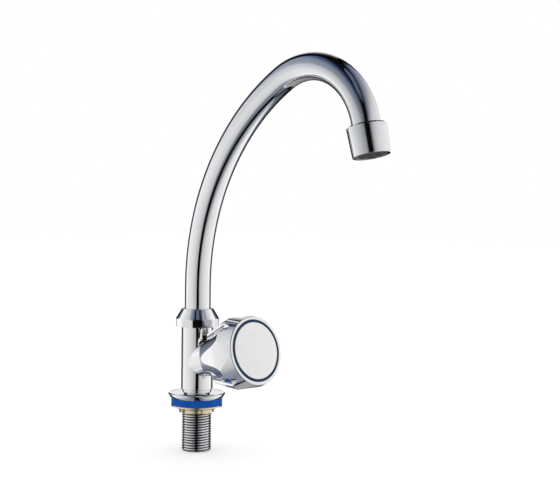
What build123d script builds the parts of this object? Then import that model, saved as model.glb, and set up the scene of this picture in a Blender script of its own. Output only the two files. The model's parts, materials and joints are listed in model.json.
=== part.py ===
from build123d import *
import math
import os

# A deck-mounted pillar tap with a swivelling swan-neck spout.
# Millimetres. The origin is on the column's vertical axis, in the plane of the deck that the
# gasket seats on. Z is up, and the spout and the handle point to -Y.

# Deck, tail and base
SHANK_D = 20.955
SHANK_PITCH_D = 19.793
SHANK_REACH = 32.5
SHANK_TIP_CHAMFER = 1.2
INLET_BORE_D = 13.0
GASKET_D = 35.8
GASKET_THICKNESS = 5.0
GASKET_BORE_CLEARANCE = 0.3
FLANGE_D = 40.4
FLANGE_FOOT_D = 36.8
FLANGE_THICKNESS = 3.7
FLANGE_EDGE = 0.8
FLANGE_DISH = 1.9
FLANGE_ROUND = 0.4
SPIGOT_D = 15.0
SPIGOT_LENGTH = 6.0
SPIGOT_BORE_D = 11.0

# Lock nut below the deck
LOCK_NUT_LIP_D = 36.0
LOCK_NUT_LIP = 1.0
LOCK_NUT_CROWN_D = 24.6
LOCK_NUT_CONE = 2.0
LOCK_NUT_HEIGHT = 5.2
LOCK_NUT_NOTCHES = 6
LOCK_NUT_NOTCH_WIDTH = 3.2
LOCK_NUT_NOTCH_DEPTH = 1.6

# Column
COLUMN_D = 22.2
NECK_FOOT_D = 17.6
NECK_D = 20.6
NECK_HEIGHT = 4.1
NECK_CONE = 2.4
NECK_ROUND = 3.0
COLUMN_FOOT_ROUND = 0.5
COLUMN_TOP = 60.0
COLUMN_THREAD_D = 21.6
COLUMN_THREAD_LENGTH = 3.6
SPOUT_SOCKET_D = 16.0
SPOUT_SOCKET_FLOOR = 42.0
SPIGOT_SOCKET_DEPTH = 8.4

# Valve in the column and boss, measured along the valve axis from the column's axis
VALVE_HEIGHT = 30.1
VALVE_TILT = 13.0
BOSS_D = 21.8
BOSS_MOUTH = 28.0
SADDLE_ROUND = 1.6
SEAT_PORT_D = 7.6
SEAT_RIM_D = 10.8
SEAT_RIM_HEIGHT = 1.0
SEAT_FACE = 4.0
VALVE_CHAMBER_D = 16.4
HEADWORK_THREAD_D = 18.0
HEADWORK_THREAD_DEPTH = 14.0
INLET_PASSAGE_D = 8.4
INLET_PASSAGE_BACK = 4.0
INLET_PASSAGE_ABOVE_AXIS = 3.9
OUTLET_PORT_D = 6.0
OUTLET_PORT_FORWARD = 6.2

# Headwork, spindle and valve carrier
HEADWORK_INNER_END = 12.0
HEADWORK_BARREL_D = 16.0
HEADWORK_WASHER_THICKNESS = 1.0
HEADWORK_HEX = 20.0
HEADWORK_HEX_LENGTH = 5.0
HEADWORK_NECK_D = 14.0
HEADWORK_NECK_LENGTH = 5.0
CARRIER_HEX = 12.0
CARRIER_LENGTH = 9.0
CARRIER_STEM_D = 6.0
CARRIER_STEM_LENGTH = 12.0
VALVE_TRAVEL = 4.0
SEAT_WASHER_D = 11.6
SEAT_WASHER_THICKNESS = 3.0
SEAT_GAP = 0.1
SEAT_NUT_HEX = 5.5
SEAT_NUT_THICKNESS = 1.6
SEAT_STUD_D = 3.0
SPINDLE_SHOULDER_D = 11.8
SPINDLE_STEM_D = 9.0
SPINDLE_END_GAP = 0.6
SPLINE_D = 8.0
SPLINE_TEETH = 20
SPLINE_TOOTH_HEIGHT = 0.5
SPLINE_LENGTH = 10.0
CIRCLIP_D = 11.6
CIRCLIP_THICKNESS = 0.8
CIRCLIP_GROOVE_D = 7.4
CIRCLIP_GAP_ANGLE = 50.0
O_RING_CORD = 1.2
SPINDLE_O_RING_SPACING = 2.2
SCREW_D = 4.0
SCREW_HEAD_D = 8.0
SCREW_HEAD_HEIGHT = 2.4
SCREW_DRIVE = 2.5
SCREW_LENGTH = 12.0

# Handle, measured back from its rim
RIM_PLANE = 60.9
RIM_D = 46.2
RIM_ROUND = 0.8
EQUATOR_D = 52.6
EQUATOR_BACK = 11.6
HANDLE_REAR_D = 38.8
HANDLE_LENGTH = 35.8
HANDLE_WALL = 2.5
PETAL_RIM_FLAT = 23.3
PETAL_EQUATOR_FLAT = 24.9
PETAL_REAR_FLAT = 19.5
PETAL_BEND = 45.0
GROOVE_FLOOR = 24.4
GROOVE_D = 12.0
GROOVE_SLOPE = 18.0
WEB_BACK = 6.0
WEB_THICKNESS = 3.0
HUB_D = 14.0
RING_D = 42.2
RING_WIDTH = 1.9
RING_DEPTH = 3.0
RING_PROUD = 0.2
CAP_DOME = 1.6
CAP_SKIRT = 2.6
CAP_WALL = 1.6

# Spout
SPOUT_TUBE_D = 18.2
SPOUT_TUBE_WALL = 1.0
SPOUT_STRAIGHT_TOP = 83.6
SPOUT_RISE_RADIUS = 162.0
SPOUT_RISE_ANGLE = 60.7
SPOUT_ARCH_RADIUS = 48.3
SPOUT_ARCH_ANGLE = 105.4
SPOUT_TIP_STRAIGHT = 5.0
NIPPLE_FLOOR_GAP = 1.0
NIPPLE_BORE_D = 10.0
NIPPLE_COLLAR_D = 20.8
NIPPLE_COLLAR_THICKNESS = 3.0
NIPPLE_SPIGOT_LENGTH = 8.0
SLIP_RING_THICKNESS = 1.0
SPOUT_O_RING_CORD = 1.8
SPOUT_O_RING_HEIGHTS = (47.5, 54.5)

# Spout nut
NUT_BOTTOM = 55.4
NUT_FLAT_HEIGHT = 4.9
NUT_HEIGHT = 12.5
NUT_CORNER_D = 31.0
NUT_SIDES = 12
NUT_CORNER_ROUND = 3.0
NUT_TOP_D = 21.8
NUT_TOP_ROUND = 0.5
NUT_FACET_TURN = 4.0

# Aerator on the spout's end, measured from the tube's end along the outflow
AERATOR_TOP_D = 25.4
AERATOR_BOTTOM_D = 23.8
AERATOR_LENGTH = 19.4
AERATOR_BEVEL = 1.0
AERATOR_LIP_D = 19.0
AERATOR_LIP = 1.4
OUTLET_NIPPLE_D = 22.0
OUTLET_NIPPLE_LENGTH = 9.0
OUTLET_NIPPLE_SLEEVE = 2.0
AERATOR_WASHER_THICKNESS = 1.2
AERATOR_WASHER_WIDTH = 3.0
AERATOR_CORE_WALL = 1.2
AERATOR_SCREEN_THICKNESS = 0.6
AERATOR_VANES = 12
AERATOR_VANE_WIDTH = 0.8

# Clearances, on the radius
RUNNING = 0.08
FIXED = 0.03
LOOSE = 0.3
O_RING_NIP = 0.05

# Frames
VALVE = Plane(
    origin=(0, 0, VALVE_HEIGHT),
    x_dir=(1, 0, 0),
    z_dir=(0, -math.cos(math.radians(VALVE_TILT)), math.sin(math.radians(VALVE_TILT))),
)


def turned(outline):
    """A solid turned about Z from an outline of (radius, height) points."""
    profile = make_face(Polyline(*outline, close=True))
    return revolve(Plane.XZ * profile, Axis.Z)


def ring(outer_d, inner_d, bottom, top):
    """A plain ring between two heights."""
    height = top - bottom
    blank = Cylinder(outer_d / 2, height) - Cylinder(inner_d / 2, height)
    return Pos(0, 0, (bottom + top) / 2) * blank


def disc(diameter, bottom, top):
    """A plain disc or rod between two heights."""
    return Pos(0, 0, (bottom + top) / 2) * Cylinder(diameter / 2, top - bottom)


def hexagon(across_flats, bottom, top):
    """A hexagonal prism between two heights."""
    face = RegularPolygon(across_flats / 2, 6, major_radius=False)
    return Pos(0, 0, bottom) * extrude(face, top - bottom)


def o_ring(outer_d, cord, height):
    """An O-ring whose outer edge reaches a bore."""
    return Pos(0, 0, height) * Torus(outer_d / 2 - cord / 2, cord / 2)


# Heights that several pieces share
# The nut's stretch of the tail is drawn at the thread's pitch diameter, where the two threads meet.
# The free thread below it is drawn at its crest diameter.
ENGAGED_END = -LOCK_NUT_HEIGHT - LOOSE
FLANGE_TOP = GASKET_THICKNESS + FLANGE_THICKNESS - FLANGE_DISH
SPIGOT_TOP = FLANGE_TOP + SPIGOT_LENGTH
COLLAR_BOTTOM = COLUMN_TOP + SLIP_RING_THICKNESS
COLLAR_TOP = COLLAR_BOTTOM + NIPPLE_COLLAR_THICKNESS
NUT_TOP = NUT_BOTTOM + NUT_HEIGHT
TUBE_BORE_D = SPOUT_TUBE_D - 2 * SPOUT_TUBE_WALL

# Distances that several pieces share, along the valve axis
WASHER_FACE = SEAT_FACE + SEAT_GAP
CARRIER_START = WASHER_FACE + SEAT_WASHER_THICKNESS
CARRIER_END = CARRIER_START + CARRIER_LENGTH
CARRIER_STEM_END = CARRIER_END + CARRIER_STEM_LENGTH
SPINDLE_START = CARRIER_END + VALVE_TRAVEL + SPINDLE_END_GAP
HEX_START = BOSS_MOUTH + HEADWORK_WASHER_THICKNESS
HEX_END = HEX_START + HEADWORK_HEX_LENGTH
HEADWORK_END = HEX_END + HEADWORK_NECK_LENGTH
SHOULDER_END = HEX_START + HEADWORK_HEX_LENGTH / 2
CIRCLIP_START = HEADWORK_END + LOOSE
CIRCLIP_END = CIRCLIP_START + CIRCLIP_THICKNESS
SPLINE_START = CIRCLIP_END + CIRCLIP_THICKNESS
SPINDLE_END = SPLINE_START + SPLINE_LENGTH
HUB_START = SPLINE_START + LOOSE
HUB_END = RIM_PLANE - WEB_BACK


def tap_body():
    """The cast column with its side boss, water ways, valve seat and sockets."""
    column = turned(
        [
            (0, FLANGE_TOP),
            (NECK_FOOT_D / 2, FLANGE_TOP),
            (NECK_D / 2, FLANGE_TOP + NECK_CONE),
            (NECK_D / 2, FLANGE_TOP + NECK_HEIGHT),
            (COLUMN_D / 2, FLANGE_TOP + NECK_HEIGHT),
            (COLUMN_D / 2, COLUMN_TOP - COLUMN_THREAD_LENGTH),
            (COLUMN_THREAD_D / 2, COLUMN_TOP - COLUMN_THREAD_LENGTH),
            (COLUMN_THREAD_D / 2, COLUMN_TOP),
            (0, COLUMN_TOP),
        ]
    )
    cone_edge, neck_edges = column.edges().filter_by(GeomType.CIRCLE).group_by(Axis.Z)[1:3]
    foot_edge = neck_edges.sort_by(SortBy.RADIUS)[-1]
    column = fillet(cone_edge, NECK_ROUND)
    column = fillet(foot_edge, COLUMN_FOOT_ROUND)
    outside = column + VALVE * disc(BOSS_D, 0, BOSS_MOUTH)
    saddle = [e for e in outside.edges() if e.geom_type not in (GeomType.LINE, GeomType.CIRCLE)]
    outside = fillet(saddle, SADDLE_ROUND)
    spigot_socket = disc(SPIGOT_D + 2 * FIXED, FLANGE_TOP, FLANGE_TOP + SPIGOT_SOCKET_DEPTH)
    passage_top = VALVE_HEIGHT + INLET_PASSAGE_ABOVE_AXIS
    inlet_passage = Pos(0, INLET_PASSAGE_BACK, 0) * disc(
        INLET_PASSAGE_D, FLANGE_TOP + SPIGOT_SOCKET_DEPTH / 2, passage_top
    )
    seat_port = VALVE * disc(SEAT_PORT_D, -INLET_PASSAGE_BACK, SEAT_FACE)
    chamber = VALVE * disc(VALVE_CHAMBER_D, SEAT_FACE - SEAT_RIM_HEIGHT, BOSS_MOUTH)
    seat_rim = VALVE * ring(SEAT_RIM_D, SEAT_PORT_D, SEAT_FACE - SEAT_RIM_HEIGHT, SEAT_FACE)
    thread_bore = VALVE * disc(
        HEADWORK_THREAD_D + 2 * FIXED, BOSS_MOUTH - HEADWORK_THREAD_DEPTH, BOSS_MOUTH
    )
    outlet_port = Pos(0, -OUTLET_PORT_FORWARD, 0) * disc(
        OUTLET_PORT_D, VALVE_HEIGHT, SPOUT_SOCKET_FLOOR
    )
    spout_socket = disc(SPOUT_SOCKET_D, SPOUT_SOCKET_FLOOR, COLUMN_TOP)
    water_way = (
        spigot_socket + inlet_passage + seat_port + (chamber - seat_rim) + thread_bore
        + outlet_port + spout_socket
    )
    return outside - water_way


def inlet_tailpiece():
    """The base flange, the threaded tail and the spigot that screws up into the column."""
    outside = turned(
        [
            (0, -SHANK_REACH),
            (SHANK_D / 2 - SHANK_TIP_CHAMFER, -SHANK_REACH),
            (SHANK_D / 2, -SHANK_REACH + SHANK_TIP_CHAMFER),
            (SHANK_D / 2, ENGAGED_END),
            (SHANK_PITCH_D / 2, ENGAGED_END),
            (SHANK_PITCH_D / 2, GASKET_THICKNESS),
            (FLANGE_FOOT_D / 2, GASKET_THICKNESS),
            (FLANGE_D / 2, GASKET_THICKNESS + FLANGE_THICKNESS - FLANGE_EDGE),
            (FLANGE_D / 2 - FLANGE_EDGE, GASKET_THICKNESS + FLANGE_THICKNESS),
            (NECK_FOOT_D / 2, FLANGE_TOP),
            (SPIGOT_D / 2, FLANGE_TOP),
            (SPIGOT_D / 2, SPIGOT_TOP),
            (0, SPIGOT_TOP),
        ]
    )
    rim_edges = outside.edges().filter_by(GeomType.CIRCLE).sort_by(SortBy.RADIUS)[-2:]
    outside = fillet(rim_edges, FLANGE_ROUND)
    bore = disc(INLET_BORE_D, -SHANK_REACH, GASKET_THICKNESS)
    spigot_bore = disc(SPIGOT_BORE_D, GASKET_THICKNESS, SPIGOT_TOP)
    return outside - bore - spigot_bore


def deck_gasket():
    """The soft ring between the flange and the deck."""
    blank = ring(GASKET_D, SHANK_D + 2 * GASKET_BORE_CLEARANCE, 0, GASKET_THICKNESS)
    return blank


def lock_nut():
    """The dished brass nut below the deck, with spanner notches in its crown."""
    crown_top = -LOCK_NUT_LIP - LOCK_NUT_CONE
    blank = turned(
        [
            (SHANK_PITCH_D / 2 + FIXED, 0),
            (LOCK_NUT_LIP_D / 2, 0),
            (LOCK_NUT_LIP_D / 2, -LOCK_NUT_LIP),
            (LOCK_NUT_CROWN_D / 2, crown_top),
            (LOCK_NUT_CROWN_D / 2, -LOCK_NUT_HEIGHT),
            (SHANK_PITCH_D / 2 + FIXED, -LOCK_NUT_HEIGHT),
        ]
    )
    notch_height = LOCK_NUT_HEIGHT - LOCK_NUT_LIP - LOCK_NUT_CONE
    notch = Pos(LOCK_NUT_CROWN_D / 2, 0, -LOCK_NUT_HEIGHT + notch_height / 2) * Box(
        2 * LOCK_NUT_NOTCH_DEPTH, LOCK_NUT_NOTCH_WIDTH, notch_height
    )
    for turn in range(LOCK_NUT_NOTCHES):
        blank -= Rot(0, 0, turn * 360 / LOCK_NUT_NOTCHES) * notch
    return blank


def spout_nut():
    """The twelve-sided nut with a coned top that holds the spout's collar down on the column."""
    envelope = turned(
        [
            (0, NUT_BOTTOM),
            (NUT_CORNER_D / 2, NUT_BOTTOM),
            (NUT_CORNER_D / 2, NUT_BOTTOM + NUT_FLAT_HEIGHT),
            (NUT_TOP_D / 2, NUT_TOP),
            (0, NUT_TOP),
        ]
    )
    top_edge = envelope.edges().filter_by(GeomType.CIRCLE).sort_by(Axis.Z)[-1]
    envelope = fillet(top_edge, NUT_TOP_ROUND)
    outline = RegularPolygon(NUT_CORNER_D / 2, NUT_SIDES)
    sides = extrude(fillet(outline.vertices(), NUT_CORNER_ROUND), NUT_HEIGHT)
    prism = Pos(0, 0, NUT_BOTTOM) * Rot(0, 0, NUT_FACET_TURN) * sides
    column_bore = disc(COLUMN_D + 2 * LOOSE, NUT_BOTTOM, COLUMN_TOP - COLUMN_THREAD_LENGTH)
    thread_bore = disc(COLUMN_THREAD_D + 2 * FIXED, NUT_BOTTOM, COLLAR_TOP + LOOSE)
    tube_bore = disc(SPOUT_TUBE_D + 2 * LOOSE, NUT_BOTTOM, NUT_TOP)
    return (envelope & prism) - column_bore - thread_bore - tube_bore


def spout_path():
    """The spout tube's centre line: a short straight, a long rise, the arch and a short tip."""
    rise = math.radians(SPOUT_RISE_ANGLE)
    finish = math.radians(SPOUT_RISE_ANGLE + SPOUT_ARCH_ANGLE)

    def on_rise(angle):
        return (
            0,
            SPOUT_RISE_RADIUS * (math.cos(angle) - 1),
            SPOUT_STRAIGHT_TOP + SPOUT_RISE_RADIUS * math.sin(angle),
        )

    shift = SPOUT_RISE_RADIUS - SPOUT_ARCH_RADIUS
    arch_y = shift * math.cos(rise) - SPOUT_RISE_RADIUS
    arch_z = SPOUT_STRAIGHT_TOP + shift * math.sin(rise)

    def on_arch(angle):
        return (
            0,
            arch_y + SPOUT_ARCH_RADIUS * math.cos(angle),
            arch_z + SPOUT_ARCH_RADIUS * math.sin(angle),
        )

    foot = Line((0, 0, COLLAR_TOP), on_rise(0))
    lift = ThreePointArc(on_rise(0), on_rise(rise / 2), on_rise(rise))
    arch = ThreePointArc(on_arch(rise), on_arch((rise + finish) / 2), on_arch(finish))
    outflow = Vector(0, -math.sin(finish), math.cos(finish))
    tip = Line(arch @ 1, arch @ 1 + outflow * SPOUT_TIP_STRAIGHT)
    return Wire([foot, lift, arch, tip]), tip @ 1, outflow


SPOUT_WIRE, SPOUT_TIP, OUTFLOW = spout_path()
# Z runs out along the water, so an aerator piece keeps its lengths when it is placed.
OUTLET = Plane(origin=SPOUT_TIP, x_dir=(1, 0, 0), z_dir=OUTFLOW)


def spout_tube():
    """The bent tube, open at both ends."""
    section = Plane(origin=(0, 0, COLLAR_TOP), z_dir=(0, 0, 1))
    wall = Circle(SPOUT_TUBE_D / 2) - Circle(TUBE_BORE_D / 2)
    return sweep(section * wall, path=SPOUT_WIRE)


def spout_nipple():
    """The turned foot of the spout: O-ring grooves, the collar and the spigot in the tube."""
    shaft = SPOUT_SOCKET_D / 2 - RUNNING
    floor = SPOUT_SOCKET_FLOOR + NIPPLE_FLOOR_GAP
    spigot_top = COLLAR_TOP + NIPPLE_SPIGOT_LENGTH
    blank = turned(
        [
            (NIPPLE_BORE_D / 2, floor),
            (shaft, floor),
            (shaft, COLLAR_BOTTOM),
            (NIPPLE_COLLAR_D / 2, COLLAR_BOTTOM),
            (NIPPLE_COLLAR_D / 2, COLLAR_TOP),
            (TUBE_BORE_D / 2 - FIXED, COLLAR_TOP),
            (TUBE_BORE_D / 2 - FIXED, spigot_top),
            (NIPPLE_BORE_D / 2, spigot_top),
        ]
    )
    groove_floor_d = SPOUT_SOCKET_D - 2 * O_RING_NIP - 2 * SPOUT_O_RING_CORD
    half_width = SPOUT_O_RING_CORD / 2 + RUNNING
    for height in SPOUT_O_RING_HEIGHTS:
        blank -= ring(SPOUT_SOCKET_D, groove_floor_d, height - half_width, height + half_width)
    return blank


def spout_o_rings():
    """The two O-rings that seal the spout in the column."""
    outer_d = SPOUT_SOCKET_D - 2 * O_RING_NIP
    return Compound([o_ring(outer_d, SPOUT_O_RING_CORD, z) for z in SPOUT_O_RING_HEIGHTS])


def spout_slip_ring():
    """The plastic ring that the spout's collar turns on."""
    return ring(NIPPLE_COLLAR_D, SPOUT_SOCKET_D, COLUMN_TOP, COLLAR_BOTTOM)


def spout_outlet_nipple():
    """The threaded ring on the spout's end that the aerator screws onto."""
    sleeve = ring(OUTLET_NIPPLE_D, SPOUT_TUBE_D + 2 * FIXED, -OUTLET_NIPPLE_SLEEVE, 0)
    front = ring(OUTLET_NIPPLE_D, TUBE_BORE_D, 0, OUTLET_NIPPLE_LENGTH)
    return OUTLET * (sleeve + front)


AERATOR_START = -OUTLET_NIPPLE_SLEEVE - AERATOR_BEVEL
AERATOR_END = AERATOR_START + AERATOR_LENGTH
AERATOR_CAVITY_D = OUTLET_NIPPLE_D + 2 * FIXED


def aerator_housing():
    """The tapered chromed housing with a bevelled top and an inward lip at its mouth."""
    outside = turned(
        [
            (0, AERATOR_START),
            (AERATOR_TOP_D / 2 - AERATOR_BEVEL, AERATOR_START),
            (AERATOR_TOP_D / 2, AERATOR_START + AERATOR_BEVEL),
            (AERATOR_BOTTOM_D / 2, AERATOR_END),
            (0, AERATOR_END),
        ]
    )
    top_hole = disc(SPOUT_TUBE_D + 2 * LOOSE, AERATOR_START, -OUTLET_NIPPLE_SLEEVE)
    cavity = disc(AERATOR_CAVITY_D, -OUTLET_NIPPLE_SLEEVE, AERATOR_END - AERATOR_LIP)
    mouth = disc(AERATOR_LIP_D, AERATOR_END - AERATOR_LIP, AERATOR_END)
    return OUTLET * (outside - top_hole - cavity - mouth)


WASHER_END = OUTLET_NIPPLE_LENGTH + AERATOR_WASHER_THICKNESS
CORE_END = AERATOR_END - AERATOR_LIP


def aerator_washer():
    """The rubber washer between the spout's end and the aerator's insert."""
    bore = AERATOR_CAVITY_D - 2 * AERATOR_WASHER_WIDTH
    return OUTLET * ring(AERATOR_CAVITY_D, bore, OUTLET_NIPPLE_LENGTH, WASHER_END)


def aerator_insert():
    """The plastic insert: an outer wall, a hub and the vanes between them."""
    outer_d = AERATOR_CAVITY_D - 2 * RUNNING
    inner_d = outer_d - 2 * AERATOR_CORE_WALL
    hub_d = inner_d / 4
    core = ring(outer_d, inner_d, WASHER_END, CORE_END) + disc(hub_d, WASHER_END, CORE_END)
    vane_length = (inner_d + AERATOR_CORE_WALL - hub_d) / 2
    vane = Pos((inner_d + hub_d) / 4, 0, (WASHER_END + CORE_END) / 2) * Box(
        vane_length, AERATOR_VANE_WIDTH, CORE_END - WASHER_END
    )
    for turn in range(AERATOR_VANES):
        core += Rot(0, 0, turn * 360 / AERATOR_VANES) * vane
    return OUTLET * core


def aerator_screen():
    """The fine screen held between the insert and the housing's lip."""
    bottom = CORE_END
    return OUTLET * disc(AERATOR_LIP_D - 2 * RUNNING, bottom, bottom + AERATOR_SCREEN_THICKNESS)


def headwork_body():
    """The brass valve body that screws into the boss, with a hexagon outside and a hexagonal guide."""
    barrel = turned(
        [
            (0, HEADWORK_INNER_END),
            (HEADWORK_BARREL_D / 2, HEADWORK_INNER_END),
            (HEADWORK_BARREL_D / 2, BOSS_MOUTH - HEADWORK_THREAD_DEPTH),
            (HEADWORK_THREAD_D / 2, BOSS_MOUTH - HEADWORK_THREAD_DEPTH),
            (HEADWORK_THREAD_D / 2, HEX_START),
            (HEADWORK_NECK_D / 2, HEX_START),
            (HEADWORK_NECK_D / 2, HEADWORK_END),
            (0, HEADWORK_END),
        ]
    )
    hexagon_flange = hexagon(HEADWORK_HEX, HEX_START, HEX_END)
    guide = hexagon(CARRIER_HEX + 2 * RUNNING, HEADWORK_INNER_END, SPINDLE_START)
    shoulder_bore = disc(
        SPINDLE_SHOULDER_D + 2 * RUNNING, SPINDLE_START - LOOSE, SHOULDER_END + LOOSE
    )
    stem_bore = disc(SPINDLE_STEM_D + 2 * RUNNING, HEADWORK_INNER_END, HEADWORK_END)
    return VALVE * (barrel + hexagon_flange - guide - shoulder_bore - stem_bore)


def headwork_washer():
    """The flat sealing washer under the headwork's hexagon."""
    return VALVE * ring(BOSS_D, HEADWORK_THREAD_D + 2 * FIXED, BOSS_MOUTH, HEX_START)


def valve_carrier():
    """The hexagonal jumper that slides in the headwork, with its threaded stem and washer stud."""
    hexagonal = hexagon(CARRIER_HEX, CARRIER_START, CARRIER_END)
    stem = disc(CARRIER_STEM_D, CARRIER_END, CARRIER_STEM_END)
    stud_start = WASHER_FACE - SEAT_NUT_THICKNESS
    stud = disc(SEAT_STUD_D, stud_start, CARRIER_START)
    return VALVE * (hexagonal + stem + stud)


def seat_washer():
    """The rubber washer that closes the seat."""
    bore = SEAT_STUD_D + 2 * FIXED
    return VALVE * ring(SEAT_WASHER_D, bore, WASHER_FACE, CARRIER_START)


def seat_washer_nut():
    """The small nut that holds the seat washer."""
    start = WASHER_FACE - SEAT_NUT_THICKNESS
    nut = hexagon(SEAT_NUT_HEX, start, WASHER_FACE)
    return VALVE * (nut - disc(SEAT_STUD_D + 2 * FIXED, start, WASHER_FACE))


def spindle():
    """The spindle: a threaded socket inside, O-ring and circlip grooves, and a splined end."""
    blank = turned(
        [
            (0, SPINDLE_START),
            (SPINDLE_SHOULDER_D / 2, SPINDLE_START),
            (SPINDLE_SHOULDER_D / 2, SHOULDER_END),
            (SPINDLE_STEM_D / 2, SHOULDER_END),
            (SPINDLE_STEM_D / 2, SPLINE_START),
            (SPLINE_D / 2 - SPLINE_TOOTH_HEIGHT, SPLINE_START),
            (SPLINE_D / 2 - SPLINE_TOOTH_HEIGHT, SPINDLE_END),
            (0, SPINDLE_END),
        ]
    )
    blank -= disc(CARRIER_STEM_D + 2 * RUNNING, SPINDLE_START, CARRIER_STEM_END + VALVE_TRAVEL)
    groove_floor_d = SPINDLE_STEM_D - 2 * O_RING_CORD
    half_width = O_RING_CORD / 2 + RUNNING
    for distance in SPINDLE_O_RING_PLACES:
        blank -= ring(
            SPINDLE_SHOULDER_D, groove_floor_d, distance - half_width, distance + half_width
        )
    blank -= ring(CIRCLIP_D, CIRCLIP_GROOVE_D, CIRCLIP_START - FIXED, CIRCLIP_END + FIXED)
    root_width = math.pi * (SPLINE_D / 2 - SPLINE_TOOTH_HEIGHT) / SPLINE_TEETH
    tooth = Polyline(
        (0, root_width / 2),
        (SPLINE_D / 2 - SPLINE_TOOTH_HEIGHT, root_width / 2),
        (SPLINE_D / 2, root_width / 4),
        (SPLINE_D / 2, -root_width / 4),
        (SPLINE_D / 2 - SPLINE_TOOTH_HEIGHT, -root_width / 2),
        (0, -root_width / 2),
        close=True,
    )
    tooth = Pos(0, 0, SPLINE_START) * extrude(make_face(tooth), SPLINE_LENGTH)
    teeth = [Rot(0, 0, turn * 360 / SPLINE_TEETH) * tooth for turn in range(SPLINE_TEETH)]
    blank = blank + teeth
    return VALVE * (blank - disc(SCREW_D + 2 * FIXED, SPINDLE_END - SCREW_LENGTH, SPINDLE_END))


SPINDLE_O_RING_PLACES = (
    HEADWORK_END - 2 * SPINDLE_O_RING_SPACING,
    HEADWORK_END - SPINDLE_O_RING_SPACING,
)


def spindle_o_rings():
    """The two O-rings on the spindle."""
    outer_d = SPINDLE_STEM_D
    return VALVE * Compound([o_ring(outer_d, O_RING_CORD, z) for z in SPINDLE_O_RING_PLACES])


def spindle_circlip():
    """The open spring ring that keeps the spindle from being pushed in."""
    blank = ring(CIRCLIP_D, CIRCLIP_GROOVE_D + 2 * FIXED, CIRCLIP_START, CIRCLIP_END)
    reach = CIRCLIP_D
    half = math.radians(CIRCLIP_GAP_ANGLE / 2)
    wedge = make_face(
        Polyline(
            (0, 0),
            (reach * math.cos(half), reach * math.sin(half)),
            (reach * math.cos(half), -reach * math.sin(half)),
            close=True,
        )
    )
    gap = Pos(0, 0, CIRCLIP_START) * extrude(wedge, CIRCLIP_THICKNESS)
    return VALVE * (blank - gap)


def handle_radius(back):
    """The handle's outer radius at a distance back from the rim plane."""
    if back <= EQUATOR_BACK:
        return RIM_D / 2 + (EQUATOR_D - RIM_D) / 2 * back / EQUATOR_BACK
    share = (back - EQUATOR_BACK) / (HANDLE_LENGTH - EQUATOR_BACK)
    return EQUATOR_D / 2 + (HANDLE_REAR_D - EQUATOR_D) / 2 * share


def petal_pair():
    """The room between two opposite petal faces, with Z running back from the rim plane."""
    front = (PETAL_RIM_FLAT, 0)
    middle = (PETAL_EQUATOR_FLAT, EQUATOR_BACK)
    rear = (PETAL_REAR_FLAT, HANDLE_LENGTH)
    face_line = FilletPolyline(front, middle, rear, radius=PETAL_BEND)
    closing = Polyline(rear, (0, HANDLE_LENGTH), (0, 0), front)
    half = extrude(Plane.XZ * make_face([face_line, closing]), EQUATOR_D / 2, both=True)
    return half + mirror(half, Plane.YZ)


def groove(radius):
    """A finger groove's cutter, along the front cone and then sloping in over the rear cone."""
    axis_radius = GROOVE_FLOOR + GROOVE_D / 2
    level = Pos(axis_radius, 0, EQUATOR_BACK / 2) * Cylinder(radius, EQUATOR_BACK)
    sloping = Pos(0, 0, HANDLE_LENGTH / 2) * Cylinder(radius, HANDLE_LENGTH)
    return level + Pos(axis_radius, 0, EQUATOR_BACK) * Rot(0, -GROOVE_SLOPE, 0) * sloping


def four_times(shape):
    """Four copies of a shape, half way between the petals."""
    return [Rot(0, 0, 45 + 90 * quarter) * shape for quarter in range(4)]


def handle_shell():
    """The hollow handle: two cones, four petal faces, finger grooves, a web and a splined hub.

    It is drawn with Z running back from the rim plane and turned round at the end.
    """
    blank = turned(
        [
            (0, 0),
            (handle_radius(0), 0),
            (handle_radius(EQUATOR_BACK), EQUATOR_BACK),
            (handle_radius(HANDLE_LENGTH), HANDLE_LENGTH),
            (0, HANDLE_LENGTH),
        ]
    )
    rim_edge = blank.edges().filter_by(GeomType.CIRCLE).group_by(Axis.Z)[0]
    blank = fillet(rim_edge, RIM_ROUND)
    petals = petal_pair()
    blank = blank & petals & (Rot(0, 0, 90) * petals)
    web_end = WEB_BACK + WEB_THICKNESS
    hollow = turned(
        [
            (0, web_end),
            (PETAL_RIM_FLAT - HANDLE_WALL, web_end),
            (PETAL_EQUATOR_FLAT - HANDLE_WALL, EQUATOR_BACK),
            (handle_radius(HANDLE_LENGTH) - HANDLE_WALL, HANDLE_LENGTH),
            (0, HANDLE_LENGTH),
        ]
    )
    hollow -= four_times(groove(GROOVE_D / 2 + HANDLE_WALL))
    front_recess = disc(RING_D, 0, RING_DEPTH) + disc(RING_D - 2 * RING_WIDTH, 0, WEB_BACK)
    hub_back = RIM_PLANE - HUB_START
    hub = disc(HUB_D, WEB_BACK, hub_back)
    shell = blank - four_times(groove(GROOVE_D / 2)) - hollow - front_recess + hub
    shell -= disc(SPLINE_D + 2 * FIXED, WEB_BACK, hub_back)
    facing = Plane(origin=(0, 0, RIM_PLANE), x_dir=(1, 0, 0), z_dir=(0, 0, -1))
    return VALVE * facing * shell


def indicator_ring():
    """The coloured ring in the handle's front."""
    back = RIM_PLANE - RING_DEPTH
    inner_d = RING_D - 2 * RING_WIDTH
    return VALVE * ring(RING_D - 2 * FIXED, inner_d, back, RIM_PLANE + RING_PROUD)


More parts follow.
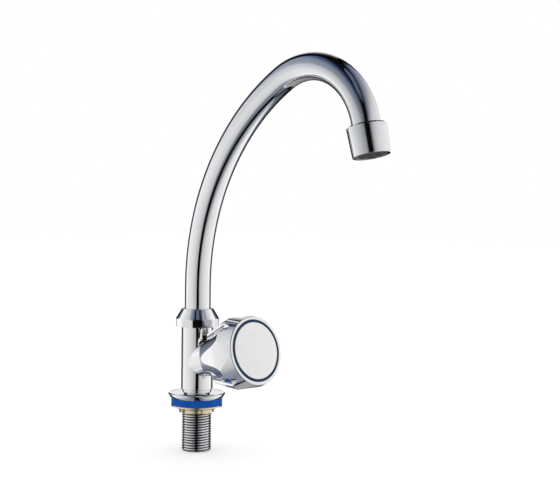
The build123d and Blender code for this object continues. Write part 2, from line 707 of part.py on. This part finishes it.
def handle_cap():
    """The domed cap over the handle's screw, with a skirt that plugs into the ring."""
    outer_r = RING_D / 2 - RING_WIDTH - FIXED
    edge = RIM_PLANE + RING_PROUD
    inner_r = outer_r - CAP_WALL
    dome = revolve(
        Plane.XZ * make_face(
            [
                Line((0, edge), (0, edge + CAP_DOME)),
                ThreePointArc(
                    (0, edge + CAP_DOME),
                    (outer_r / 2, edge + CAP_DOME * 3 / 4),
                    (outer_r, edge),
                ),
                Line((outer_r, edge), (0, edge)),
            ]
        ),
        Axis.Z,
    )
    plate = disc(2 * outer_r, edge - CAP_WALL, edge)
    skirt = ring(2 * outer_r, 2 * inner_r, edge - CAP_WALL - CAP_SKIRT, edge - CAP_WALL)
    return VALVE * (dome + plate + skirt)


def handle_screw():
    """The screw that holds the handle on the spindle, with a hexagon socket."""
    head_start = HUB_END
    head = disc(SCREW_HEAD_D, head_start, head_start + SCREW_HEAD_HEIGHT)
    shank = disc(SCREW_D, head_start - SCREW_LENGTH, head_start)
    drive = hexagon(SCREW_DRIVE, head_start + SCREW_HEAD_HEIGHT / 2, head_start + SCREW_HEAD_HEIGHT)
    return VALVE * (head + shank - drive)


NODES = {
    "tap_body": tap_body,
    "inlet_tailpiece": inlet_tailpiece,
    "deck_gasket": deck_gasket,
    "lock_nut": lock_nut,
    "spout_nut": spout_nut,
    "headwork_body": headwork_body,
    "headwork_washer": headwork_washer,
    "spout_tube": spout_tube,
    "spout_nipple": spout_nipple,
    "spout_o_rings": spout_o_rings,
    "spout_slip_ring": spout_slip_ring,
    "spout_outlet_nipple": spout_outlet_nipple,
    "aerator_housing": aerator_housing,
    "aerator_washer": aerator_washer,
    "aerator_insert": aerator_insert,
    "aerator_screen": aerator_screen,
    "handle_shell": handle_shell,
    "indicator_ring": indicator_ring,
    "handle_cap": handle_cap,
    "handle_screw": handle_screw,
    "spindle": spindle,
    "spindle_o_rings": spindle_o_rings,
    "spindle_circlip": spindle_circlip,
    "valve_carrier": valve_carrier,
    "seat_washer": seat_washer,
    "seat_washer_nut": seat_washer_nut,
}

os.makedirs("parts", exist_ok=True)
for name, build in NODES.items():
    export_step(build(), f"parts/{name}.step")
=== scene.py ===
import json
import math

import bpy
from mathutils import Matrix, Vector


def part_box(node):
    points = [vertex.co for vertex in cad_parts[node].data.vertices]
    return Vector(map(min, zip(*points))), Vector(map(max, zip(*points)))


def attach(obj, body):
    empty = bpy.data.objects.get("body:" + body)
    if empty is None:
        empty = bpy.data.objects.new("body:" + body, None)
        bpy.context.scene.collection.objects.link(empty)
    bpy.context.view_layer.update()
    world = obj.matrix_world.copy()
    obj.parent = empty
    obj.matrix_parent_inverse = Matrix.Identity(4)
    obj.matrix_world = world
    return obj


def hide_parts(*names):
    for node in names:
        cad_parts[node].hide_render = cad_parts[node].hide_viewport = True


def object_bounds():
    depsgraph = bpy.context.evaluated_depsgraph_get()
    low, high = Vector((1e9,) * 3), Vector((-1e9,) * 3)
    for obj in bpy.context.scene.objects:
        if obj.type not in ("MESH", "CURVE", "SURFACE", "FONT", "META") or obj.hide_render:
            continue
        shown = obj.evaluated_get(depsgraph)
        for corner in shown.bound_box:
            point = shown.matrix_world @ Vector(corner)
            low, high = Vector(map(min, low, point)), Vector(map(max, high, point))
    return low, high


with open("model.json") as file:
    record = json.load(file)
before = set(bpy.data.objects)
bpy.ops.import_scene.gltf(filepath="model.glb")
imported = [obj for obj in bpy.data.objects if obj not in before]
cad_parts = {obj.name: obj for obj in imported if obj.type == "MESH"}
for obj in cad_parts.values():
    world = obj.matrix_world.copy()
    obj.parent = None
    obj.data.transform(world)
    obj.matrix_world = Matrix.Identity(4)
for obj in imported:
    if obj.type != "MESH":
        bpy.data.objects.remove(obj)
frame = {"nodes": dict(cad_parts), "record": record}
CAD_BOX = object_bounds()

SCENE = bpy.context.scene
MM = 0.001
DEGREE = math.pi / 180
WHITE = (1.0, 1.0, 1.0)

# Camera, in the part's frame. Its focal length is in pixels of an image of this width.
IMAGE_WIDTH = 560
FOCAL_PIXELS = 1292.99
SENSOR_WIDTH = 36.0
CAMERA_PLACE = Vector((-602.99, -677.26, 155.30)) * MM
CAMERA_RIGHT = Vector((0.703767, -0.71031, 0.013091))
CAMERA_UP = Vector((0.027823, 0.04597, 0.998555))
TOWARD_CAMERA = Vector((CAMERA_PLACE.x, CAMERA_PLACE.y, 0)).normalized()
ASIDE = Vector((-TOWARD_CAMERA.y, TOWARD_CAMERA.x, 0))

# Studio, as metal sees it: two lit walls, on the camera's left and right of the tap, that run
# towards the camera. Their places and heights are in millimetres from the frame's origin.
LEFT_WALL = -160.0
RIGHT_WALL = 250.0
WALL_LOW = -1500.0
WALL_HIGH = 1500.0
# The walls' ends, where 1 is as far before the tap as the wall is beside it.
WALL_BACK = -2.0
WALL_FRONT = 5.2
# Brightness along a wall, in the same measure, over the range that its ramp spans.
ALONG_WALL_SPAN = (-2, 6)
ALONG_WALL = [
    (-1.75, 0.005),
    (-1.2, 0.01),
    (-1.05, (0.10, 0.12, 0.16)),
    (-0.80, (0.17, 0.19, 0.24)),
    (-0.66, (0.24, 0.26, 0.31)),
    (-0.57, 0.80),
    (-0.50, 1.0),
    (-0.35, 0.98),
    (-0.1, 0.87),
    (0.7, 0.74),
    (1.3, 0.63),
    (2.7, 0.47),
    (5.2, 0.40),
]
# Colours up a wall, by height in millimetres.
LEFT_WALL_COLORS = [
    (-400.0, (0.30, 0.33, 0.40)),
    (-200.0, (0.45, 0.48, 0.54)),
    (-130.0, (0.75, 0.76, 0.78)),
    (-40.0, (0.98, 0.98, 0.98)),
    (150.0, (0.98, 0.98, 0.98)),
    (222.0, (0.79, 0.80, 0.82)),
    (275.0, (0.66, 0.69, 0.74)),
    (320.0, (0.36, 0.40, 0.48)),
    (400.0, (0.31, 0.35, 0.43)),
    (470.0, (0.25, 0.29, 0.39)),
    (564.0, (0.09, 0.14, 0.26)),
    (722.0, (0.035, 0.06, 0.14)),
    (1000.0, (0.003, 0.004, 0.008)),
]
RIGHT_WALL_COLORS = [
    (-880.0, (0.25, 0.27, 0.33)),
    (-320.0, (0.65, 0.66, 0.68)),
    (-130.0, (1.0, 1.0, 1.0)),
    (230.0, (1.0, 1.0, 1.0)),
    (300.0, (0.80, 0.80, 0.81)),
    (340.0, (0.62, 0.63, 0.66)),
    (383.0, (0.45, 0.455, 0.50)),
    (440.0, (0.335, 0.34, 0.42)),
    (521.0, (0.24, 0.25, 0.33)),
    (657.0, (0.12, 0.145, 0.24)),
    (959.0, (0.025, 0.035, 0.075)),
    (1300.0, (0.003, 0.004, 0.008)),
]
# Patches of the dark room that metal sees. Each is a brightness by the angle round from the
# camera's side, times a colour by the angle over the horizon, in degrees.
AROUND_SPAN = (0, 180)
RISE_SPAN = (-90, 90)
BACKDROP = (
    [(160.0, 0.0), (168.0, 1.0)],
    [(3.0, 0.0), (8.0, 0.85), (30.0, 0.80), (42.0, 0.15), (60.0, 0.0)],
)
REAR_FLOOR = (
    [(150.0, 0.0), (165.0, 1.0)],
    [(-60.0, 0.35), (-25.0, 0.20), (-12.0, 0.0)],
)
CEILING = (
    [(25.0, 1.0), (50.0, 0.0)],
    [(38.0, 0.0), (50.0, (0.10, 0.12, 0.175)), (75.0, (0.10, 0.12, 0.175))],
)
DARK_ROOM = (0.003, 0.003, 0.003)
# Light on surfaces that aren't metal: softer from the left than from the right.
FILL_LEFT = (0.74, 0.75, 0.77)
FILL_RIGHT = (1.0, 0.995, 0.985)
# The floor glows a little for the camera alone, so that it meets the white backdrop.
FLOOR_SIZE = 6.0
FLOOR_COLOR = (0.93, 0.93, 0.93)
FLOOR_ROUGHNESS = 0.9
FLOOR_GLOW = 0.3

# Tail: radii and heights that the frame doesn't give, in millimetres.
TAIL_BORE_R = 6.5
SPIGOT_BORE_R = 5.5
SPIGOT_R = 7.5
NECK_FOOT_R = 8.8
FLANGE_FOOT_R = 18.4
FLANGE_EDGE = 0.8
RIM_TOP = 8.7
TAIL_BEVEL = 0.12

# Tail thread, in millimetres. Its flanks are part straight and part a wave, which rounds them.
THREAD_CREST_R = 10.4775
THREAD_PITCH = 25.4 / 14
THREAD_DEPTH = 1.162
THREAD_TIP_CHAMFER = 1.2
THREAD_RUNOUT = 1.5
THREAD_STRAIGHT_SHARE = 0.55
THREAD_TURN_STEPS = 128
THREAD_PITCH_STEPS = 16

# Aerator screen, in millimetres: wire and pitch, and how far a wire rises over the next one.
SCREEN_WIRE = 0.17
SCREEN_PITCH = 0.8
SCREEN_WEAVE = 0.09
SCREEN_SIDES = 6
SCREEN_STEPS_PER_PITCH = 2

# Noises: features per metre, and detail.
HAZE = (90.0, 3.0)
CLOUD = (180.0, 4.0)
TARNISH = (270.0, 4.0)
STEEL_HAZE = (360.0, 3.0)
PEEL = (500.0, 2.0)
GRAIN = (1800.0, 2.0)
# Where a noise reaches a finish's first and second shade. It seldom leaves this range.
FIRST_SHADE_AT = 0.3
SECOND_SHADE_AT = 0.7

# Reliefs: strength, and depth in metres.
PEEL_RELIEF = (0.02, 0.0001)
BRASS_RELIEF = (0.25, 0.00005)
STEEL_RELIEF = (0.2, 0.00004)
GRAIN_RELIEF = (0.15, 0.00005)
CAP_RELIEF = (0.03, 0.00005)
RING_RELIEF = (0.05, 0.00005)
SEAM_RELIEF = (0.6, 0.0002)
SEAM_HALF_WIDTH = 0.00025
# Lathe marks: their pitch in metres, and how many pitches they wander.
TURNING_PITCH = 0.00035
TURNING_WANDER = 2.0
# Shaded rounding of the edges: its radius in metres, and its samples.
EDGE_SOFTNESS = 0.0003
EDGE_SAMPLES = 4

# Finishes: two shades, and the least and most roughness.
CHROME_SHADES = (0.93, 0.935, 0.95), (0.97, 0.97, 0.975)
CHROME_ROUGHNESS = (0.02, 0.06)
# The tail's chrome colour by distance from the axis in millimetres, with painted shade: near black
# at the thread's root, lightening up the flanks to the crest. Then how far that wanders, in
# metres.
ROOT_SHADE_TO_CREST = [
    (9.3, (0.08, 0.08, 0.09)),
    (9.5, (0.16, 0.165, 0.18)),
    (9.8, (0.74, 0.745, 0.76)),
    (10.2, (0.95, 0.95, 0.96)),
]
ROOT_SHADE_WANDER = 0.0006
TAIL_ROUGHNESS = (0.03, 0.09)
BRASS_SHADES = (0.84, 0.70, 0.44), (0.96, 0.86, 0.64)
BRASS_ROUGHNESS = (0.18, 0.36)
STEEL_SHADES = (0.52, 0.53, 0.55), (0.66, 0.66, 0.67)
WIRE_SHADES = (0.10, 0.105, 0.11), (0.18, 0.185, 0.19)
STEEL_ROUGHNESS = (0.22, 0.38)
SEAL_SHADES = (0.012, 0.012, 0.013), (0.03, 0.03, 0.03)
SEAL_ROUGHNESS = (0.45, 0.6)
FIBRE_SHADES = (0.22, 0.045, 0.03), (0.34, 0.08, 0.05)
FIBRE_ROUGHNESS = (0.6, 0.8)
PLASTIC_SHADES = (0.62, 0.62, 0.58), (0.74, 0.74, 0.71)
PLASTIC_ROUGHNESS = (0.4, 0.5)
GASKET_SHADES = (0.0, 0.075, 0.40), (0.001, 0.11, 0.52)
GASKET_ROUGHNESS = (0.5, 0.6)
GASKET_SPECULAR = 0.12
RING_SHADES = (0.002, 0.022, 0.055), (0.004, 0.036, 0.09)
RING_ROUGHNESS = (0.1, 0.18)
RING_SPECULAR = 0.25
CAP_SHADES = (0.90, 0.90, 0.89), (0.93, 0.93, 0.92)
CAP_ROUGHNESS = (0.30, 0.36)
CAP_METALLIC = 0.35
CAP_COAT = 0.3
CAP_COAT_ROUGHNESS = 0.2


class Nodes:
    """A material's or world's node tree, with short calls for the nodes that this scene uses."""

    def __init__(self, tree):
        self.tree = tree

    def add(self, kind, **settings):
        node = self.tree.nodes.new(kind)
        for key, value in settings.items():
            setattr(node, key, value)
        return node

    def feed(self, socket, value):
        """Sets a socket to a number or a colour, or links another node's output to it."""
        if isinstance(value, (int, float)):
            socket.default_value = value
        elif isinstance(value, tuple):
            socket.default_value = (*value, 1.0)
        else:
            self.tree.links.new(value, socket)

    def math(self, operation, *values):
        node = self.add("ShaderNodeMath", operation=operation)
        for socket, value in zip(node.inputs, values):
            self.feed(socket, value)
        return node.outputs[0]

    def dot(self, vector, direction):
        node = self.add("ShaderNodeVectorMath", operation="DOT_PRODUCT")
        self.feed(node.inputs[0], vector)
        node.inputs[1].default_value = direction
        return node.outputs["Value"]

    def ramp(self, factor, stops):
        """A colour ramp. Each stop is a place from 0 to 1 and a colour, or a number for a grey."""
        node = self.add("ShaderNodeValToRGB")
        while len(node.color_ramp.elements) < len(stops):
            node.color_ramp.elements.new(0.5)
        for element, (place, color) in zip(node.color_ramp.elements, stops):
            element.position = place
            element.color = (*color, 1.0) if isinstance(color, tuple) else (color,) * 3 + (1.0,)
        self.feed(node.inputs[0], factor)
        return node.outputs[0]

    def scale(self, value, span, stops, unit):
        """A ramp whose stops are places or angles within a span, in a unit."""
        low, high = span
        share = self.math("DIVIDE", self.math("SUBTRACT", value, low * unit), (high - low) * unit)
        return self.ramp(share, [((place - low) / (high - low), color) for place, color in stops])

    def mix(self, factor, first, second, blend="MIX"):
        node = self.add("ShaderNodeMix", data_type="RGBA", blend_type=blend)
        colors = [socket for socket in node.inputs if socket.type == "RGBA"]
        self.feed(node.inputs[0], factor)
        self.feed(colors[0], first)
        self.feed(colors[1], second)
        return [socket for socket in node.outputs if socket.type == "RGBA"][0]


class Finish(Nodes):
    """A surface finish in the object's own coordinates, which are metres in the part's frame."""

    def __init__(self, name, metallic=0.0):
        self.material = bpy.data.materials.new(name)
        self.material.use_nodes = True
        super().__init__(self.material.node_tree)
        self.shader = self.tree.nodes["Principled BSDF"]
        self.set("Metallic", metallic)
        self.place = self.add("ShaderNodeTexCoord").outputs["Object"]
        self.normal = None

    def set(self, name, value):
        """Sets or links one of the shader's sockets."""
        self.feed(self.shader.inputs[name], value)

    def noise(self, scale, detail):
        node = self.add("ShaderNodeTexNoise")
        self.feed(node.inputs["Vector"], self.place)
        self.feed(node.inputs["Scale"], scale)
        self.feed(node.inputs["Detail"], detail)
        return node.outputs["Fac"]

    def coordinate(self, axis):
        parts = self.add("ShaderNodeSeparateXYZ")
        self.feed(parts.inputs[0], self.place)
        return parts.outputs[axis]

    def radius(self):
        """The distance from the vertical axis."""
        squares = [self.math("POWER", self.coordinate(axis), 2.0) for axis in "XY"]
        return self.math("SQRT", self.math("ADD", *squares))

    def color(self, factor, shades):
        ramp = self.ramp(factor, list(zip((FIRST_SHADE_AT, SECOND_SHADE_AT), shades)))
        self.set("Base Color", ramp)

    def roughness(self, factor, limits):
        low, high = limits
        self.set("Roughness", self.math("ADD", self.math("MULTIPLY", factor, high - low), low))

    def soften_edges(self):
        node = self.add("ShaderNodeBevel", samples=EDGE_SAMPLES)
        self.feed(node.inputs["Radius"], EDGE_SOFTNESS)
        self.normal = node.outputs["Normal"]
        self.set("Normal", self.normal)

    def relief(self, height, strength, depth):
        node = self.add("ShaderNodeBump")
        self.feed(node.inputs["Strength"], strength)
        self.feed(node.inputs["Distance"], depth)
        self.feed(node.inputs["Height"], height)
        if self.normal:
            self.feed(node.inputs["Normal"], self.normal)
        self.normal = node.outputs["Normal"]
        self.set("Normal", self.normal)

    def turning_marks(self):
        """Fine rings about the vertical axis, as a lathe tool leaves them."""
        along = self.math("ADD", self.radius(), self.coordinate("Z"))
        along = self.math("DIVIDE", along, TURNING_PITCH)
        wander = self.math("MULTIPLY", self.noise(*PEEL), TURNING_WANDER)
        return self.math("PINGPONG", self.math("ADD", along, wander), 0.5)


def chrome_finish():
    """Bright plating over polished brass: nearly a mirror, with a faint haze and waviness."""
    finish = Finish("chrome", metallic=1.0)
    haze = finish.noise(*HAZE)
    finish.color(haze, CHROME_SHADES)
    finish.roughness(haze, CHROME_ROUGHNESS)
    finish.soften_edges()
    finish.relief(finish.noise(*PEEL), *PEEL_RELIEF)
    return finish.material


def thread_finish():
    """The tail's chrome, with painted shade that darkens its colour down the thread's flanks to
    the root.
    """
    finish = Finish("tail_chrome_root_shade", metallic=1.0)
    haze = finish.noise(*HAZE)
    wander = finish.math("MULTIPLY", finish.math("SUBTRACT", haze, 0.5), ROOT_SHADE_WANDER)
    depth = finish.math("ADD", finish.radius(), wander)
    thread = (THREAD_CREST_R - THREAD_DEPTH, THREAD_CREST_R)
    # Painted shade: the colour darkens from the crest to near black at the thread's root.
    finish.set("Base Color", finish.scale(depth, thread, ROOT_SHADE_TO_CREST, MM))
    finish.roughness(haze, TAIL_ROUGHNESS)
    finish.relief(finish.noise(*PEEL), *PEEL_RELIEF)
    return finish.material


def brass_finish():
    """Turned brass left bare, with tool marks and a slight tarnish."""
    finish = Finish("brass", metallic=1.0)
    tarnish = finish.noise(*TARNISH)
    finish.color(tarnish, BRASS_SHADES)
    finish.roughness(tarnish, BRASS_ROUGHNESS)
    finish.soften_edges()
    finish.relief(finish.turning_marks(), *BRASS_RELIEF)
    return finish.material


def steel_finish(name, shades):
    """Drawn and turned stainless steel."""
    finish = Finish(name, metallic=1.0)
    haze = finish.noise(*STEEL_HAZE)
    finish.color(haze, shades)
    finish.roughness(haze, STEEL_ROUGHNESS)
    finish.relief(finish.turning_marks(), *STEEL_RELIEF)
    return finish.material


def moulded_finish(name, shades, roughness, relief=GRAIN_RELIEF):
    """A moulded rubber or plastic: two close shades in a cloud, with a fine grain."""
    finish = Finish(name)
    cloud = finish.noise(*CLOUD)
    finish.color(cloud, shades)
    finish.roughness(cloud, roughness)
    finish.soften_edges()
    finish.relief(finish.noise(*GRAIN), *relief)
    return finish


def gasket_finish():
    """Blue rubber with the mould's parting line round its middle."""
    finish = moulded_finish("blue rubber", GASKET_SHADES, GASKET_ROUGHNESS)
    finish.set("Specular IOR Level", GASKET_SPECULAR)
    low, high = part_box("deck_gasket")
    above_middle = finish.math("SUBTRACT", finish.coordinate("Z"), (low.z + high.z) / 2)
    seam = finish.math("LESS_THAN", finish.math("ABSOLUTE", above_middle), SEAM_HALF_WIDTH)
    finish.relief(seam, *SEAM_RELIEF)
    return finish.material


def cap_finish():
    """Pearl plastic: a pale, slightly metallic base under a clear satin coat."""
    finish = moulded_finish("pearl cap", CAP_SHADES, CAP_ROUGHNESS, CAP_RELIEF)
    finish.set("Metallic", CAP_METALLIC)
    finish.set("Coat Weight", CAP_COAT)
    finish.set("Coat Roughness", CAP_COAT_ROUGHNESS)
    return finish.material


def ring_finish():
    """Navy enamel in the handle's front ring."""
    finish = moulded_finish("indicator blue", RING_SHADES, RING_ROUGHNESS, RING_RELIEF)
    finish.set("Specular IOR Level", RING_SPECULAR)
    return finish.material


def dress_frame():
    """Gives each CAD node the finish of its material slot in the record."""
    finishes = {
        "chrome": chrome_finish(),
        "brass": brass_finish(),
        "gasket_rubber": gasket_finish(),
        "seal_rubber": moulded_finish("seal rubber", SEAL_SHADES, SEAL_ROUGHNESS).material,
        "fibre": moulded_finish("red fibre", FIBRE_SHADES, FIBRE_ROUGHNESS).material,
        "indicator_blue": ring_finish(),
        "cap_white": cap_finish(),
        "natural_plastic": moulded_finish(
            "natural plastic", PLASTIC_SHADES, PLASTIC_ROUGHNESS
        ).material,
        "steel": steel_finish("steel", STEEL_SHADES),
    }
    slots = {part["node"]: part["material_slot"] for part in frame["record"]["subparts"]}
    for node, obj in frame["nodes"].items():
        obj.data.materials.clear()
        obj.data.materials.append(finishes[slots[node]])


def add_camera():
    data = bpy.data.cameras.new("camera")
    data.sensor_width = SENSOR_WIDTH
    data.lens = FOCAL_PIXELS * SENSOR_WIDTH / IMAGE_WIDTH
    camera = bpy.data.objects.new("camera", data)
    SCENE.collection.objects.link(camera)
    back = CAMERA_RIGHT.cross(CAMERA_UP)
    axes = Matrix((CAMERA_RIGHT, CAMERA_UP, back)).transposed()
    camera.matrix_world = Matrix.Translation(CAMERA_PLACE) @ axes.to_4x4()
    SCENE.camera = camera


def add_room():
    """The room round the tap: dark to metal, with a pale backdrop and floor behind the tap."""
    world = bpy.data.worlds.new("room")
    SCENE.world = world
    world.use_nodes = True
    nodes = Nodes(world.node_tree)
    direction = nodes.add("ShaderNodeTexCoord").outputs["Generated"]
    sideways = nodes.dot(direction, ASIDE)
    forward = nodes.dot(direction, TOWARD_CAMERA)
    around = nodes.math("ABSOLUTE", nodes.math("ARCTAN2", sideways, forward))
    rise = nodes.math("ARCSINE", nodes.dot(direction, (0, 0, 1)))
    seen = DARK_ROOM
    for around_stops, rise_stops in (BACKDROP, REAR_FLOOR, CEILING):
        across = nodes.scale(around, AROUND_SPAN, around_stops, DEGREE)
        upward = nodes.scale(rise, RISE_SPAN, rise_stops, DEGREE)
        seen = nodes.mix(1.0, seen, nodes.mix(1.0, across, upward, "MULTIPLY"), "LIGHTEN")
    rays = nodes.add("ShaderNodeLightPath").outputs
    from_left = nodes.math("ADD", nodes.math("MULTIPLY", sideways, 0.5), 0.5)
    fill = nodes.mix(from_left, FILL_LEFT, FILL_RIGHT)
    lit = nodes.mix(rays["Is Glossy Ray"], fill, seen)
    behind = nodes.math("MAXIMUM", rays["Is Camera Ray"], rays["Is Transmission Ray"])
    background = nodes.tree.nodes["Background"]
    nodes.feed(background.inputs["Color"], nodes.mix(behind, lit, WHITE))
    nodes.feed(background.inputs["Strength"], 1.0)


def add_sheet(name, corners, finish):
    mesh = bpy.data.meshes.new(name)
    mesh.from_pydata(corners, [], [(0, 1, 2, 3)])
    mesh.materials.append(finish.material)
    sheet = bpy.data.objects.new(name, mesh)
    SCENE.collection.objects.link(sheet)
    return sheet


def add_wall(name, place, colors):
    """A lit wall beside the tap, seen by metal alone."""
    distance = abs(place) * MM
    finish = Finish(name)
    along = finish.dot(finish.place, TOWARD_CAMERA)
    brightness = finish.scale(along, ALONG_WALL_SPAN, ALONG_WALL, distance)
    height = finish.dot(finish.place, (0, 0, 1))
    color = finish.scale(height, (WALL_LOW, WALL_HIGH), colors, MM)
    shine = finish.add("ShaderNodeEmission")
    finish.feed(shine.inputs["Color"], finish.mix(1.0, brightness, color, "MULTIPLY"))
    finish.feed(finish.tree.nodes["Material Output"].inputs["Surface"], shine.outputs[0])
    foot = ASIDE * place * MM
    back = foot + TOWARD_CAMERA * WALL_BACK * distance
    front = foot + TOWARD_CAMERA * WALL_FRONT * distance
    low = Vector((0, 0, WALL_LOW * MM))
    high = Vector((0, 0, WALL_HIGH * MM))
    wall = add_sheet(name, [back + low, front + low, front + high, back + high], finish)
    wall.visible_camera = False
    wall.visible_diffuse = False
    wall.visible_shadow = False
    wall.visible_transmission = False


def add_floor():
    """A pale floor at the tail's end. Metal reflects the studio behind it."""
    finish = Finish("floor")
    finish.set("Base Color", FLOOR_COLOR)
    finish.set("Roughness", FLOOR_ROUGHNESS)
    finish.set("Emission Color", WHITE)
    seen = finish.add("ShaderNodeLightPath").outputs["Is Camera Ray"]
    finish.set("Emission Strength", finish.math("MULTIPLY", seen, FLOOR_GLOW))
    half = FLOOR_SIZE / 2
    low = CAD_BOX[0][2]
    corners = [(-half, -half, low), (half, -half, low), (half, half, low), (-half, half, low)]
    floor = add_sheet("floor", corners, finish)
    floor.visible_glossy = False


def new_object(name, mesh, material, body):
    obj = bpy.data.objects.new(name, mesh)
    SCENE.collection.objects.link(obj)
    mesh.materials.append(material)
    for polygon in mesh.polygons:
        polygon.use_smooth = True
    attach(obj, body)
    return obj


def thread_radius(phase):
    """A rounded V thread's radius at a phase, in turns along the pitch from a root."""
    straight = abs(2 * (phase % 1.0) - 1)
    rounded = 0.5 - 0.5 * math.cos(math.pi * straight)
    share = THREAD_STRAIGHT_SHARE * straight + (1 - THREAD_STRAIGHT_SHARE) * rounded
    return THREAD_CREST_R - THREAD_DEPTH * share


def lathe_mesh(name, rings, steps):
    """A closed mesh turned about Z. Each ring maps an angle to a radius and a height in mm."""
    mesh = bpy.data.meshes.new(name)
    points = []
    for ring in rings:
        for step in range(steps):
            angle = 2 * math.pi * step / steps
            radius, height = ring(angle)
            x = radius * math.cos(angle)
            y = radius * math.sin(angle)
            points.append((x * MM, y * MM, height * MM))
    faces = []
    for row in range(len(rings)):
        start = row * steps
        after = (row + 1) % len(rings) * steps
        for step in range(steps):
            right = (step + 1) % steps
            faces.append((start + step, start + right, after + right, after + step))
    mesh.from_pydata(points, [], faces)
    return mesh


def bevelled(corners):
    """The inner corners of an outline, each as two points a small bevel apart."""
    points = []
    for before, corner, after in zip(corners, corners[1:], corners[2:]):
        for neighbour in (before, after):
            points.append(corner + (neighbour - corner).normalized() * TAIL_BEVEL)
    return [corners[0], *points, corners[-1]]


def add_tail(chrome):
    """The flange with its threaded tail, in place of the plain one."""
    low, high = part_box("inlet_tailpiece")
    reach = low.z / MM
    spigot_top = high.z / MM
    rim = high.x / MM
    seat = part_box("deck_gasket")[1].z / MM
    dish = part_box("tap_body")[0].z / MM
    bores = [
        (SPIGOT_BORE_R, spigot_top),
        (SPIGOT_BORE_R, seat),
        (TAIL_BORE_R, seat),
        (TAIL_BORE_R, reach),
    ]
    root = THREAD_CREST_R - THREAD_DEPTH
    outside = [
        (root, seat - THREAD_RUNOUT / 2),
        (root, seat),
        (FLANGE_FOOT_R, seat),
        (rim, RIM_TOP - FLANGE_EDGE),
        (rim - FLANGE_EDGE, RIM_TOP),
        (NECK_FOOT_R, dish),
        (SPIGOT_R, dish),
        (SPIGOT_R, spigot_top),
    ]
    step = THREAD_PITCH / THREAD_PITCH_STEPS
    count = int((seat - THREAD_RUNOUT - reach) / step)

    def plain_ring(point):
        return lambda angle: point

    def thread_ring(height):
        def point(angle):
            radius = thread_radius(height / THREAD_PITCH - angle / (2 * math.pi))
            chamfer = THREAD_CREST_R - THREAD_TIP_CHAMFER + (height - reach)
            return (min(radius, chamfer), height)
        return point

    rings = [plain_ring(point) for point in bores]
    rings += [thread_ring(reach + index * step) for index in range(count)]
    rings += [plain_ring(point) for point in bevelled([Vector(point) for point in outside])]
    mesh = lathe_mesh("threaded_tail", rings, THREAD_TURN_STEPS)
    obj = new_object("threaded_tail", mesh, chrome, "body")
    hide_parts("inlet_tailpiece")


def add_wire(vertices, faces, points, side):
    """Adds a wire along points to a mesh's lists. Side is a direction square to the wire."""
    start = len(vertices)
    for before, point, after in zip([points[0]] + points, points, points[1:] + [points[-1]]):
        along = (after - before).normalized()
        other = along.cross(side)
        for corner in range(SCREEN_SIDES):
            angle = 2 * math.pi * corner / SCREEN_SIDES
            offset = side * math.cos(angle) + other * math.sin(angle)
            vertices.append(point + offset * SCREEN_WIRE / 2 * MM)
    for row in range(len(points) - 1):
        for corner in range(SCREEN_SIDES):
            first = start + row * SCREEN_SIDES + corner
            second = start + row * SCREEN_SIDES + (corner + 1) % SCREEN_SIDES
            faces.append((first, second, second + SCREEN_SIDES, first + SCREEN_SIDES))
    faces.append(tuple(start + corner for corner in reversed(range(SCREEN_SIDES))))
    last = start + (len(points) - 1) * SCREEN_SIDES
    faces.append(tuple(last + corner for corner in range(SCREEN_SIDES)))


def add_screen(steel):
    """The aerator's screen as woven wires, in place of the plain disc."""
    disc = frame["nodes"]["aerator_screen"].data
    facing = max(disc.polygons, key=lambda polygon: polygon.area).normal.copy()
    corners = [vertex.co for vertex in disc.vertices]
    center = sum(corners, Vector()) / len(corners)
    edge = max((corner - center).cross(facing).length for corner in corners)
    radius = edge - SCREEN_WIRE * MM
    across = Vector((1, 0, 0))
    over = facing.cross(across).normalized()
    pitch = SCREEN_PITCH * MM
    wires = int(radius / pitch)
    vertices = []
    faces = []
    # The wires across start with a rise and those over with a fall, so that they pass each other.
    for direction, side, start in ((across, over, 0), (over, across, 1)):
        for index in range(-wires, wires + 1):
            half = math.sqrt(radius ** 2 - (index * pitch) ** 2)
            steps = int(half / pitch) * SCREEN_STEPS_PER_PITCH
            points = []
            for step in range(-steps, steps + 1):
                place = step / SCREEN_STEPS_PER_PITCH
                rise = math.cos(math.pi * (place + index + start)) * SCREEN_WEAVE * MM
                flat = center + direction * place * pitch + side * index * pitch
                points.append(flat + facing * rise)
            if len(points) > 1:
                add_wire(vertices, faces, points, side)
    mesh = bpy.data.meshes.new("woven_screen")
    mesh.from_pydata(vertices, [], faces)
    obj = new_object("woven_screen", mesh, steel, "spout")
    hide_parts("aerator_screen")


dress_frame()
add_camera()
add_tail(thread_finish())
add_screen(steel_finish("wire_steel", WIRE_SHADES))
add_room()
add_wall("left_wall", LEFT_WALL, LEFT_WALL_COLORS)
add_wall("right_wall", RIGHT_WALL, RIGHT_WALL_COLORS)
add_floor()
SCENE.view_settings.view_transform = "Standard"
